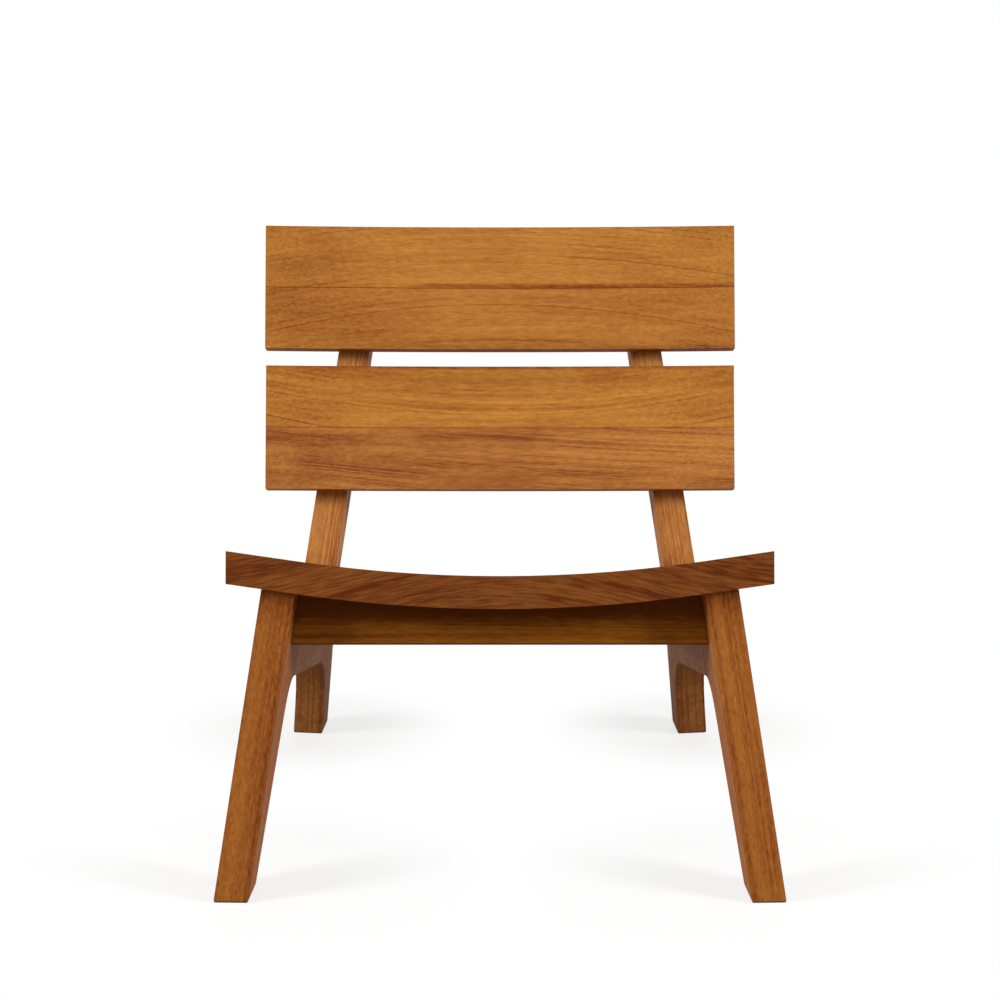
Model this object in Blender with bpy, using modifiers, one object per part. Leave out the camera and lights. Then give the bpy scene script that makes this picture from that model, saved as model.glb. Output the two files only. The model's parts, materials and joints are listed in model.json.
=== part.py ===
"""Low lounge chair in solid wood: two leaning side frames, a dished seat and two curved back slats.

Metres, +Z up, +X to the right and +Y to the back as one faces the chair. The chair stands on the floor
at Z = 0 with the middle of its outline over the origin.
"""

import math

import bmesh
import bpy
from mathutils import Matrix, Vector

OBJECT_NAME = "lounge_chair"

# Clearances
TOUCH_GAP = 0.0003  # between two pieces that touch
SEAT_BACK_CLEARANCE = 0.002  # between the seat's back edge and the posts, at the nearest point

# Seat
SEAT_WIDTH = 0.640
SEAT_DEPTH = 0.457
SEAT_THICKNESS = 0.0385
SEAT_HEIGHT = 0.375  # floor to the top of the front edge, at the middle
SEAT_SETBACK = 0.079  # front edge behind the toes of the front feet
SEAT_TILT = math.radians(15.0)
DISH_HALF_WIDTH = 0.233  # half of the hollowed middle, between the straight sides
DISH_SLOPE = math.radians(8.2)  # slope of the straight sides
SEAT_BOARDS = 4

# Back
BACK_TILT = math.radians(17.0)
BACK_SETBACK = 0.0125  # back of the slats behind the seat's back edge, at the middle
UPPER_SLAT_INSET = 0.0085  # each end inside the seat's end
LOWER_SLAT_INSET = 0.010
SLAT_HEIGHT = 0.164
SLAT_THICKNESS = 0.032
SLAT_RADIUS = 3.44  # curve of the slats' back faces, seen from above
SLAT_RISE = 0.1176  # lower slat above the seat
SLAT_GAP = 0.023

# Side frames, sizes in side view
FRAME_THICKNESS = 0.040
FRAME_LEAN = math.radians(7.84)  # frames lean in towards the top
FRAME_TOE = math.radians(4.09)  # frames close in towards the back
FRONT_FOOT_INSET = 0.025  # inner face at the front toe inside the seat's end
FRONT_FOOT_LENGTH = 0.061
FRONT_LEG_LEAN = math.radians(14.1)  # front edge of the front leg
FRONT_LEG_FLARE = math.radians(22.6)  # back edge of the front leg
RAIL_DEPTH = 0.100  # below the seat, at the front corner of the arch
RAIL_TAPER = math.radians(1.7)
FRONT_ARCH_RADIUS = 0.045
REAR_ARCH_RADIUS = 0.200
REAR_FOOT_KICK = 0.1175  # rear foot behind the back of the slats at seat level
REAR_FOOT_LENGTH = 0.057
REAR_LEG_SPLAY = math.radians(27.5)  # front edge of the rear leg
REAR_LEG_BACK_SPLAY = math.radians(25.7)
POST_DEPTH_AT_SEAT = 0.063
POST_DEPTH_AT_TOP = 0.043
POST_TOP_DROP = 0.020  # top of the posts below the top of the upper slat
KNEE_RADIUS = 0.090
EDGE_ROUNDING = 0.0025

# Stretchers
STRETCHER_THICKNESS = 0.032
STRETCHER_DEPTH = 0.0425  # below the seat at the middle
FRONT_STRETCHER_SETBACK = 0.058  # behind the seat's front edge
REAR_STRETCHER_INSET = 0.065  # ahead of the seat's back edge

# Loose tenons
RAIL_TENON_LENGTH = 0.070
RAIL_TENON_WIDTH = 0.056
RAIL_TENON_THICKNESS = 0.014
STRETCHER_TENON_LENGTH = 0.048
STRETCHER_TENON_WIDTH = 0.030
STRETCHER_TENON_THICKNESS = 0.012
TENON_SPACING = 0.036  # wood left between a stretcher's tenon and the rail tenon behind it

# Screws and plugs
SCREW_RADIUS = 0.00225
SCREW_HEAD_RADIUS = 0.0045
SCREW_HEAD_HEIGHT = 0.003
SCREW_POINT_LENGTH = 0.006
SCREW_BITE = 0.022  # length in the slat or the seat
SLAT_SCREW_GRIP = 0.022  # wood of the post under a slat screw's head
SEAT_SCREW_GRIP = 0.020  # wood of the stretcher under a seat screw's head
PLUG_MARGIN = 0.0015  # plug past the rim of the screw's head
SEAT_SCREWS = 3  # in each stretcher
SEAT_SCREW_SPACING = 0.150

# Facets and working allowances
ARC_STEP = math.radians(9.0)
DISH_STEPS = 14
SLAT_STEPS = 16
ROUND_STEPS = 12
ROUNDING_SEGMENTS = 3
ROUNDING_ANGLE = math.radians(35.0)  # edges that turn more than this are rounded over
SMOOTH_ANGLE = math.radians(40.0)  # turned faces that meet at less than this are shaded as one
MERGE_DISTANCE = 0.00001
WASTE = 0.020  # stock left on for a later cut
REACH = 0.225  # reach of a cut that stays on one side of the chair
FAR = 0.9  # reach of a cut that goes right through

# Finish: base colour, roughness
LEG_WOOD = ((0.31, 0.105, 0.021), 0.42)
RAIL_WOOD = ((0.27, 0.105, 0.030), 0.45)
POST_WOOD = ((0.36, 0.130, 0.029), 0.42)
SEAT_WOOD = ((0.24, 0.070, 0.017), 0.42)
UPPER_SLAT_WOOD = ((0.42, 0.160, 0.033), 0.40)
LOWER_SLAT_WOOD = ((0.36, 0.130, 0.028), 0.40)
STRETCHER_WOOD = ((0.20, 0.058, 0.010), 0.45)
PLUG_WOOD = ((0.30, 0.100, 0.022), 0.45)
TENON_WOOD = ((0.50, 0.330, 0.170), 0.60)
STEEL = ((0.55, 0.54, 0.52), 0.35)

SIDES = {"left": -1, "right": 1}
SLAT_BOARDS = ("bottom", "top")


# Scene set-up

def clear_scene():
    for obj in list(bpy.data.objects):
        bpy.data.objects.remove(obj, do_unlink=True)


def new_collection(name):
    collection = bpy.data.collections.new(name)
    bpy.context.scene.collection.children.link(collection)
    return collection


clear_scene()
PARTS = new_collection(OBJECT_NAME)
CUTTERS = new_collection(OBJECT_NAME + "_cutters")
ROOT = bpy.data.objects.new(OBJECT_NAME + "_root", None)
PARTS.objects.link(ROOT)


def material(name, finish, metallic=0.0):
    colour, roughness = finish
    made = bpy.data.materials.new(name)
    made.use_nodes = True
    shader = made.node_tree.nodes["Principled BSDF"]
    shader.inputs["Base Color"].default_value = (*colour, 1.0)
    shader.inputs["Roughness"].default_value = roughness
    shader.inputs["Metallic"].default_value = metallic
    made.diffuse_color = (*colour, 1.0)
    return made


def piece(name, mesh, finish, metallic=0.0):
    """One named piece of the chair, its mesh given in the chair's own space."""
    obj = bpy.data.objects.new(name, mesh)
    PARTS.objects.link(obj)
    obj.parent = ROOT
    mesh.materials.clear()
    mesh.materials.append(material(name, finish, metallic))
    return obj


def cutter(name, mesh):
    obj = bpy.data.objects.new(name, mesh)
    CUTTERS.objects.link(obj)
    obj.parent = ROOT
    obj.hide_render = True
    obj.display_type = "WIRE"
    return obj


def boolean(obj, operation, *others):
    for other in others:
        modifier = obj.modifiers.new(f"{operation.lower()} {other.name}", "BOOLEAN")
        modifier.operation = operation
        modifier.solver = "EXACT"
        modifier.object = other


def cut(obj, *others):
    boolean(obj, "DIFFERENCE", *others)


def finished_mesh(obj):
    """The object's mesh with its modifiers applied; the object itself is removed."""
    graph = bpy.context.evaluated_depsgraph_get()
    mesh = bpy.data.meshes.new_from_object(obj.evaluated_get(graph))
    bpy.data.objects.remove(obj, do_unlink=True)
    return mesh


# Outlines

def line_meeting(point, angle, other_point, other_angle):
    """Where two lines meet, each given by a point and its angle from the first axis."""
    run = Vector((math.cos(angle), math.sin(angle)))
    other_run = Vector((math.cos(other_angle), math.sin(other_angle)))
    between = Vector(other_point) - Vector(point)
    along = between.cross(other_run) / run.cross(other_run)
    return Vector(point) + run * along


def rounded_outline(corners):
    """Points of a closed outline whose corners are (point, radius), with an arc at each radius over zero."""
    points = []
    count = len(corners)
    for index, (corner, radius) in enumerate(corners):
        if not radius:
            points.append(Vector(corner))
            continue
        before = (Vector(corners[index - 1][0]) - Vector(corner)).normalized()
        after = (Vector(corners[(index + 1) % count][0]) - Vector(corner)).normalized()
        half_angle = before.angle(after) / 2
        centre = Vector(corner) + (before + after).normalized() * (radius / math.sin(half_angle))
        start = Vector(corner) + before * (radius / math.tan(half_angle)) - centre
        turn = start.angle_signed(Vector(corner) + after * (radius / math.tan(half_angle)) - centre)
        steps = max(2, math.ceil(abs(turn) / ARC_STEP))
        for step in range(steps + 1):
            # angle_signed counts clockwise turns as positive
            points.append(centre + Matrix.Rotation(-turn * step / steps, 2) @ start)
    return points


def slab(outline, thickness, matrix):
    """A flat outline with a thickness, centred on its plane and moved by the matrix."""
    curve = bpy.data.curves.new("outline", "CURVE")
    curve.dimensions = "2D"
    curve.fill_mode = "BOTH"
    curve.extrude = thickness / 2
    spline = curve.splines.new("POLY")
    spline.points.add(len(outline) - 1)
    for point, place in zip(spline.points, outline):
        point.co = (place[0], place[1], 0.0, 1.0)
    spline.use_cyclic_u = True
    guide = bpy.data.objects.new("outline", curve)
    CUTTERS.objects.link(guide)
    mesh = finished_mesh(guide)
    bpy.data.curves.remove(curve)
    shape = bmesh.new()
    shape.from_mesh(mesh)
    bmesh.ops.remove_doubles(shape, verts=shape.verts, dist=MERGE_DISTANCE)
    bmesh.ops.transform(shape, verts=shape.verts, matrix=matrix)
    bmesh.ops.recalc_face_normals(shape, faces=shape.faces)
    shape.to_mesh(mesh)
    shape.free()
    return mesh


def block(low, high, matrix):
    """A box between two corners in the matrix's space."""
    size = Vector(high) - Vector(low)
    middle = (Vector(high) + Vector(low)) / 2
    shape = bmesh.new()
    place = Matrix.Translation(middle) @ Matrix.Diagonal((*size, 1.0))
    bmesh.ops.create_cube(shape, size=1.0, matrix=matrix @ place)
    mesh = bpy.data.meshes.new("block")
    shape.to_mesh(mesh)
    shape.free()
    return mesh


def turned(profile, matrix):
    """A shape turned round its own Z axis from (radius, height) points that run from top to bottom."""
    shape = bmesh.new()
    corners = [shape.verts.new((radius, 0.0, height)) for radius, height in profile]
    for corner, following in zip(corners, corners[1:]):
        shape.edges.new((corner, following))
    mesh = bpy.data.meshes.new("profile")
    shape.to_mesh(mesh)
    shape.free()
    guide = bpy.data.objects.new("profile", mesh)
    CUTTERS.objects.link(guide)
    turn = guide.modifiers.new("turn", "SCREW")
    turn.steps = ROUND_STEPS
    turn.render_steps = ROUND_STEPS
    turn.use_merge_vertices = True
    turn.merge_threshold = MERGE_DISTANCE
    solid = finished_mesh(guide)
    solid.transform(matrix)
    solid.shade_smooth()
    solid.set_sharp_from_angle(angle=SMOOTH_ANGLE)
    return solid


def rounded(mesh, *cuts):
    """The mesh with these cuts made and its sharp edges rounded over."""
    blank = cutter("blank", mesh)
    cut(blank, *cuts)
    rounding = blank.modifiers.new("rounding", "BEVEL")
    rounding.width = EDGE_ROUNDING
    rounding.segments = ROUNDING_SEGMENTS
    rounding.limit_method = "ANGLE"
    rounding.angle_limit = ROUNDING_ANGLE
    return finished_mesh(blank)


# Places: each space is a matrix from its own axes to the chair's

def space(origin, x_axis, y_axis, z_axis):
    return Matrix.Translation(origin) @ Matrix((x_axis, y_axis, z_axis)).transposed().to_4x4()


# Seat space: X across, Y back along the seat, Z square to it, from the middle of the top front edge.
SEAT_RUN = Vector((0.0, math.cos(SEAT_TILT), -math.sin(SEAT_TILT)))
SEAT_UP = Vector((0.0, math.sin(SEAT_TILT), math.cos(SEAT_TILT)))
SEAT = space((0.0, SEAT_SETBACK, SEAT_HEIGHT), (1.0, 0.0, 0.0), SEAT_RUN, SEAT_UP)

# Back space: X across, Y back through the slats, Z up along them, from the back of the slats at seat level.
BACK_RUN = Vector((0.0, math.cos(BACK_TILT), -math.sin(BACK_TILT)))
BACK_UP = Vector((0.0, math.sin(BACK_TILT), math.cos(BACK_TILT)))
BACK_FOOT = SEAT @ Vector((0.0, SEAT_DEPTH + BACK_SETBACK, 0.0))
BACK = space(BACK_FOOT, (1.0, 0.0, 0.0), BACK_RUN, BACK_UP)

DISH_RADIUS = DISH_HALF_WIDTH / math.sin(DISH_SLOPE)
UPPER_SLAT_WIDTH = SEAT_WIDTH - 2 * UPPER_SLAT_INSET
LOWER_SLAT_WIDTH = SEAT_WIDTH - 2 * LOWER_SLAT_INSET
FRONT_FOOT_SPREAD = SEAT_WIDTH - 2 * FRONT_FOOT_INSET  # between the inner faces at the front toes
SLAT_BOARD_HEIGHT = SLAT_HEIGHT / len(SLAT_BOARDS)
UPPER_SLAT_RISE = SLAT_RISE + SLAT_HEIGHT + SLAT_GAP
BACK_HEIGHT = UPPER_SLAT_RISE + SLAT_HEIGHT
PLUG_RADIUS = SCREW_HEAD_RADIUS + PLUG_MARGIN
STRETCHER_TENON_LEVEL = -SEAT_THICKNESS - STRETCHER_DEPTH / 2

# Each slat: its rise over the seat, its width and its finish
SLATS = {
    "lower_slat": (SLAT_RISE, LOWER_SLAT_WIDTH, LOWER_SLAT_WOOD),
    "upper_slat": (UPPER_SLAT_RISE, UPPER_SLAT_WIDTH, UPPER_SLAT_WOOD),
}

# Each stretcher: its front face behind the seat's front edge
STRETCHERS = {
    "front": FRONT_STRETCHER_SETBACK,
    "rear": SEAT_DEPTH - REAR_STRETCHER_INSET - STRETCHER_THICKNESS,
}


def dish(across):
    """Height of the seat's top over its middle: an arc, then a straight slope to each end."""
    reach = abs(across)
    if reach <= DISH_HALF_WIDTH:
        return DISH_RADIUS - math.sqrt(DISH_RADIUS ** 2 - reach ** 2)
    rise = DISH_RADIUS * (1 - math.cos(DISH_SLOPE))
    return rise + (reach - DISH_HALF_WIDTH) * math.tan(DISH_SLOPE)


def hollow(across):
    """How far the back of a slat comes forward of its middle."""
    return SLAT_RADIUS - math.sqrt(SLAT_RADIUS ** 2 - across ** 2)


def steps_across(half_width, steps):
    return [half_width * (2 * step / steps - 1) for step in range(steps + 1)]


def frame_space(side):
    """Middle plane of a side frame: X back along the frame, Y up along it, from the toe of its inner face."""
    back = Vector((-side * math.sin(FRAME_TOE), math.cos(FRAME_TOE), 0.0))
    inward = Vector((-side * math.cos(FRAME_TOE), -math.sin(FRAME_TOE), 0.0))
    up = inward * math.sin(FRAME_LEAN) + Vector((0.0, 0.0, math.cos(FRAME_LEAN)))
    outward = Vector((0.0, 0.0, math.sin(FRAME_LEAN))) - inward * math.cos(FRAME_LEAN)
    toe = Vector((side * FRONT_FOOT_SPREAD / 2, 0.0, 0.0))
    return space(toe + outward * (FRAME_THICKNESS / 2), back, up, outward * side)


def in_frame(y, z):
    """A point of the side view, carried square across onto a frame's inner face."""
    up = z / math.cos(FRAME_LEAN)
    return Vector(((y + up * math.sin(FRAME_LEAN) * math.sin(FRAME_TOE)) / math.cos(FRAME_TOE), up))


def frame_middle(y, z, side):
    """The point of a frame's middle plane at this height and depth."""
    matrix = frame_space(side)
    normal = matrix.to_3x3().col[2]
    origin = matrix.translation
    across = (normal.y * (y - origin.y) + normal.z * (z - origin.z)) / normal.x
    return Vector((origin.x - across, y, z))


# Seat

def seat_section(top, bottom, half_width):
    """Cross-section between two heights over the dish curve, left to right on top and back below."""
    places = steps_across(DISH_HALF_WIDTH, DISH_STEPS)
    across = [-half_width, *places, half_width]
    upper = [(x, dish(x) + top) for x in across]
    lower = [(x, dish(x) + bottom) for x in reversed(across)]
    return upper + lower


def seat_prism(section, front, back):
    """A seat cross-section carried from front to back along the seat."""
    # The outline's own thickness runs forward, so that its axes stay right-handed
    stand = Matrix.Rotation(math.radians(90.0), 4, "X")
    middle = Matrix.Translation((0.0, (front + back) / 2, 0.0))
    return slab(section, back - front, SEAT @ middle @ stand)


def make_seat_cut():
    """All that lies over the seat's underside, as far back as the seat reaches."""
    section = seat_section(REACH, -SEAT_THICKNESS - TOUCH_GAP, FRONT_FOOT_SPREAD)
    return cutter("seat_cut", seat_prism(section, -REACH, SEAT_DEPTH + SEAT_BACK_CLEARANCE))


def make_seat(screw_bores):
    section = seat_section(0.0, -SEAT_THICKNESS, SEAT_WIDTH / 2)
    blank = rounded(seat_prism(section, 0.0, SEAT_DEPTH))
    board_depth = SEAT_DEPTH / SEAT_BOARDS
    for index in range(SEAT_BOARDS):
        front = index * board_depth + TOUCH_GAP / 2 if index else -WASTE
        back = (index + 1) * board_depth - TOUCH_GAP / 2
        if index == SEAT_BOARDS - 1:
            back = SEAT_DEPTH + WASTE
        name = f"seat_board_{index + 1}"
        board = piece(name, blank.copy(), SEAT_WOOD)
        saw = block((-FAR, front, -FAR), (FAR, back, FAR), SEAT)
        boolean(board, "INTERSECT", cutter(name + "_saw", saw))
        cut(board, *screw_bores)


# Back slats

def slat_section(front, back, half_width):
    """Plan of a slat between two depths behind its curved back face."""
    across = steps_across(half_width, SLAT_STEPS)
    rear = [(x, back - hollow(x)) for x in across]
    fore = [(x, front - hollow(x)) for x in reversed(across)]
    return rear + fore


def slat_prism(section, bottom, top):
    middle = Matrix.Translation((0.0, 0.0, (bottom + top) / 2))
    return slab(section, top - bottom, BACK @ middle)


def make_back_cut():
    """All that lies ahead of the slats' backs, from seat level upwards."""
    section = slat_section(-REACH, TOUCH_GAP, max(LOWER_SLAT_WIDTH, UPPER_SLAT_WIDTH) / 2)
    return cutter("back_cut", slat_prism(section, 0.0, BACK_HEIGHT + WASTE))


def make_slat(slat, screw_bores):
    rise, width, finish = SLATS[slat]
    section = slat_section(-SLAT_THICKNESS, 0.0, width / 2)
    blank = rounded(slat_prism(section, rise, rise + SLAT_HEIGHT))
    seam = rise + SLAT_BOARD_HEIGHT
    spans = ((rise - WASTE, seam - TOUCH_GAP / 2), (seam + TOUCH_GAP / 2, rise + SLAT_HEIGHT + WASTE))
    for row, (low, high) in zip(SLAT_BOARDS, spans):
        name = f"{slat}_{row}_board"
        board = piece(name, blank.copy(), finish)
        saw = block((-FAR, -FAR, low), (FAR, FAR, high), BACK)
        boolean(board, "INTERSECT", cutter(name + "_saw", saw))
        cut(board, *screw_bores)


# Side frames

def side_view():
    """Corners of a side frame in side view, each with its rounding radius, and the arch's two corners."""
    seat_line = -SEAT_TILT
    under_seat = SEAT @ Vector((0.0, 0.0, dish(DISH_HALF_WIDTH) - SEAT_THICKNESS))
    stock_top = under_seat + SEAT_UP * (SEAT_THICKNESS + WASTE)
    post_stock = hollow(FRONT_FOOT_SPREAD / 2) + FRAME_THICKNESS * math.sin(FRAME_TOE)
    post_front = BACK_FOOT - BACK_RUN * post_stock
    post_back = BACK_FOOT + BACK_RUN * POST_DEPTH_AT_SEAT
    post_top = BACK_FOOT + BACK_UP * (BACK_HEIGHT - POST_TOP_DROP)
    post_top_back = post_top + BACK_RUN * POST_DEPTH_AT_TOP
    post_line = math.pi / 2 - BACK_TILT
    post_run = post_top_back - post_back
    post_back_line = math.atan2(post_run.z, post_run.y)
    rail_line = -(SEAT_TILT - RAIL_TAPER)
    under_rail = under_seat - SEAT_UP * RAIL_DEPTH + SEAT_RUN * RAIL_DEPTH
    rear_foot = BACK_FOOT.y + REAR_FOOT_KICK
    front_leg_line = math.pi / 2 - FRONT_LEG_LEAN
    flare_line = math.pi / 2 - FRONT_LEG_FLARE
    splay_line = math.pi / 2 + REAR_LEG_SPLAY
    back_splay_line = math.pi / 2 + REAR_LEG_BACK_SPLAY
    toe = (0.0, 0.0)
    heel = (FRONT_FOOT_LENGTH, 0.0)
    rear_toe = (rear_foot, 0.0)
    rear_heel = (rear_foot + REAR_FOOT_LENGTH, 0.0)
    below = (0.0, -WASTE)
    front_arch = line_meeting(heel, flare_line, under_rail.yz, rail_line)
    rear_arch = line_meeting(rear_toe, splay_line, under_rail.yz, rail_line)
    corners = [
        (line_meeting(toe, front_leg_line, below, 0.0), 0.0),
        (line_meeting(heel, flare_line, below, 0.0), 0.0),
        (front_arch, FRONT_ARCH_RADIUS),
        (rear_arch, REAR_ARCH_RADIUS),
        (line_meeting(rear_toe, splay_line, below, 0.0), 0.0),
        (line_meeting(rear_heel, back_splay_line, below, 0.0), 0.0),
        (line_meeting(rear_heel, back_splay_line, post_back.yz, post_back_line), KNEE_RADIUS),
        (post_top_back.yz, 0.0),
        (line_meeting(post_front.yz, post_line, post_top.yz, -BACK_TILT), 0.0),
        (line_meeting(post_front.yz, post_line, stock_top.yz, seat_line), 0.0),
        (line_meeting(toe, front_leg_line, stock_top.yz, seat_line), 0.0),
    ]
    return corners, front_arch, rear_arch


def rail_joint(stretcher, front_corner, rail_run):
    """How far behind the arch's front corner the rail is jointed: clear of the stretcher's tenon."""
    tenon_back = STRETCHERS[stretcher] + (STRETCHER_THICKNESS + STRETCHER_TENON_THICKNESS) / 2
    place = SEAT @ Vector((0.0, tenon_back, STRETCHER_TENON_LEVEL))
    return (in_frame(*place.yz) - front_corner).dot(rail_run) + TENON_SPACING + RAIL_TENON_LENGTH / 2


def tenon_blocks(name, half_size, matrix):
    """A loose tenon and the cutter for its mortises."""
    half = Vector(half_size)
    room = half + Vector((TOUCH_GAP, TOUCH_GAP, TOUCH_GAP))
    piece(name, block(-half, half, matrix), TENON_WOOD)
    return cutter(name + "_mortise", block(-room, room, matrix))


def make_side_frame(end, floor_cut, seat_cut, back_cut, stretcher_mortises, screw_bores):
    """Front leg, side rail and rear leg of one side, sawn from one outline, with the tenons between them."""
    side = SIDES[end]
    frame = frame_space(side)
    corners, front_arch, rear_arch = side_view()
    outline = rounded_outline([(in_frame(*point), radius) for point, radius in corners])
    blank = rounded(slab(outline, FRAME_THICKNESS, frame), floor_cut, back_cut)
    front_corner = in_frame(*front_arch)
    rear_corner = in_frame(*rear_arch)
    rail_run = (rear_corner - front_corner).normalized()
    front_joint = rail_joint("front", front_corner, rail_run)
    rear_joint = rail_joint("rear", front_corner, rail_run)
    half_gap = TOUCH_GAP / 2

    # Rail space: X along the rail's underside from the arch's front corner, Y up across the rail
    turn = Matrix.Rotation(math.atan2(rail_run.y, rail_run.x), 4, "Z")
    rail_space = frame @ Matrix.Translation((*front_corner, 0.0)) @ turn
    tenon_size = (RAIL_TENON_LENGTH / 2, RAIL_TENON_WIDTH / 2, RAIL_TENON_THICKNESS / 2)
    mortises = list(stretcher_mortises)
    for name, joint in (("front", front_joint), ("rear", rear_joint)):
        place = rail_space @ Matrix.Translation((joint, RAIL_DEPTH / 2, 0.0))
        mortises.append(tenon_blocks(f"{name}_rail_tenon_{end}", tenon_size, place))

    leg = piece(f"front_leg_{end}", blank.copy(), LEG_WOOD)
    behind = block((front_joint - half_gap, -FAR, -FAR), (FAR, FAR, FAR), rail_space)
    cut(leg, cutter(f"behind_front_leg_{end}", behind), seat_cut, *mortises)

    rail = piece(f"side_rail_{end}", blank.copy(), RAIL_WOOD)
    span = block((front_joint + half_gap, -WASTE, -FAR), (rear_joint - half_gap, FAR, FAR), rail_space)
    boolean(rail, "INTERSECT", cutter(f"side_rail_span_{end}", span))
    cut(rail, seat_cut, *mortises)

    rear_leg = piece(f"rear_leg_{end}", blank.copy(), POST_WOOD)
    stock_height = RAIL_DEPTH + SEAT_THICKNESS + 2 * WASTE
    ahead = block((-FAR, -FAR, -FAR), (rear_joint + half_gap, stock_height, FAR), rail_space)
    cut(rear_leg, cutter(f"ahead_of_rear_leg_{end}", ahead), seat_cut, *mortises, *screw_bores)
    return cutter(f"frame_blank_{end}", blank)


def make_stretcher(end, seat_cut, frame_cuts, mortises, screw_bores):
    """A straight rail from frame to frame, its top shaped to the seat's underside."""
    front = STRETCHERS[end]
    half_length = FRONT_FOOT_SPREAD / 2
    low = (-half_length, front, -SEAT_THICKNESS - STRETCHER_DEPTH)
    high = (half_length, front + STRETCHER_THICKNESS, REACH)
    stretcher = piece(f"{end}_stretcher", rounded(block(low, high, SEAT)), STRETCHER_WOOD)
    cut(stretcher, seat_cut, *frame_cuts, *mortises, *screw_bores)


# Screws

def screw_profile(grip):
    """Head, shank and point of a wood screw from the top down, with the head's underside at zero."""
    shank_end = -grip - SCREW_BITE + SCREW_POINT_LENGTH
    return [
        (0.0, SCREW_HEAD_HEIGHT),
        (SCREW_HEAD_RADIUS, SCREW_HEAD_HEIGHT),
        (SCREW_HEAD_RADIUS, 0.0),
        (SCREW_RADIUS, 0.0),
        (SCREW_RADIUS, shank_end),
        (0.0, shank_end - SCREW_POINT_LENGTH),
    ]


def bore_profile(grip):
    """A screw's hole with its wide mouth over the head."""
    return [
        (0.0, REACH),
        (PLUG_RADIUS + TOUCH_GAP, REACH),
        (PLUG_RADIUS + TOUCH_GAP, -TOUCH_GAP),
        (SCREW_RADIUS + TOUCH_GAP, -TOUCH_GAP),
        (SCREW_RADIUS + TOUCH_GAP, -grip - SCREW_BITE - TOUCH_GAP),
        (0.0, -grip - SCREW_BITE - TOUCH_GAP),
    ]


def make_screw(name, grip, matrix):
    """One screw, pointing down its own Z axis, and the cutter for its hole."""
    piece(name, turned(screw_profile(grip), matrix), STEEL, metallic=1.0)
    return cutter(name + "_bore", turned(bore_profile(grip), matrix))


def make_slat_screws():
    """A screw from behind each post into each slat board: on each side, the bores and the heads' places."""
    from_behind = Matrix.Rotation(math.radians(-90.0), 4, "X")
    heights = []
    for rise, _, _ in SLATS.values():
        heights += [rise + (row + 0.5) * SLAT_BOARD_HEIGHT for row in range(len(SLAT_BOARDS))]
    bores = {end: [] for end in SIDES}
    places = {end: [] for end in SIDES}
    for end, side in SIDES.items():
        for index, height in enumerate(heights):
            level = BACK @ Vector((0.0, 0.0, height))
            across = frame_middle(level.y, level.z, side).x
            head = Matrix.Translation((across, SLAT_SCREW_GRIP - hollow(across), height))
            place = BACK @ head @ from_behind
            bores[end].append(make_screw(f"slat_screw_{end}_{index + 1}", SLAT_SCREW_GRIP, place))
            places[end].append(place)
    return bores, places


def make_plugs(end, places, blank):
    """A wooden plug over each slat screw, flush with the back of the post."""
    start = SCREW_HEAD_HEIGHT + TOUCH_GAP
    profile = [(0.0, REACH), (PLUG_RADIUS, REACH), (PLUG_RADIUS, start), (0.0, start)]
    for index, place in enumerate(places):
        plug = piece(f"slat_plug_{end}_{index + 1}", turned(profile, place), PLUG_WOOD)
        boolean(plug, "INTERSECT", blank)


def make_seat_screws(end):
    """A row of screws up through a stretcher into the seat."""
    from_below = Matrix.Rotation(math.pi, 4, "X")
    middle = STRETCHERS[end] + STRETCHER_THICKNESS / 2
    bores = []
    for index in range(SEAT_SCREWS):
        across = (index - (SEAT_SCREWS - 1) / 2) * SEAT_SCREW_SPACING
        underside = dish(across) - SEAT_THICKNESS
        head = Matrix.Translation((across, middle, underside - SEAT_SCREW_GRIP))
        bores.append(make_screw(f"seat_screw_{end}_{index + 1}", SEAT_SCREW_GRIP, SEAT @ head @ from_below))
    return bores


# Stretcher ends

def make_stretcher_tenons(end):
    """The loose tenons at both ends of a stretcher: a mortise cutter for each side."""
    half_size = (STRETCHER_TENON_LENGTH / 2, STRETCHER_TENON_THICKNESS / 2, STRETCHER_TENON_WIDTH / 2)
    middle = STRETCHERS[end] + STRETCHER_THICKNESS / 2
    level = SEAT @ Vector((0.0, middle, STRETCHER_TENON_LEVEL))
    to_inner_face = FRAME_THICKNESS / 2 / math.cos(FRAME_LEAN) / math.cos(FRAME_TOE)
    mortises = {}
    for name, side in SIDES.items():
        across = frame_middle(level.y, level.z, side).x - side * to_inner_face
        place = SEAT @ Matrix.Translation((across, middle, STRETCHER_TENON_LEVEL))
        mortises[name] = tenon_blocks(f"{end}_stretcher_tenon_{name}", half_size, place)
    return mortises


def make_inner_face_cut(end):
    """All that lies outside the inner face of a side frame."""
    outward = SIDES[end]
    inner = -outward * (FRAME_THICKNESS / 2 + TOUCH_GAP)
    low, high = sorted((inner, outward * REACH))
    outside = block((-FAR, -FAR, low), (FAR, FAR, high), frame_space(outward))
    return cutter(f"inner_face_{end}", outside)


def stand_over_origin():
    """Moves the chair so that the middle of its outline is over the origin."""
    bpy.context.view_layer.update()
    graph = bpy.context.evaluated_depsgraph_get()
    depths = []
    for obj in PARTS.objects:
        if obj.type == "MESH":
            made = obj.evaluated_get(graph)
            depths += [(made.matrix_world @ Vector(corner)).y for corner in made.bound_box]
    ROOT.location.y = -(min(depths) + max(depths)) / 2


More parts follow.
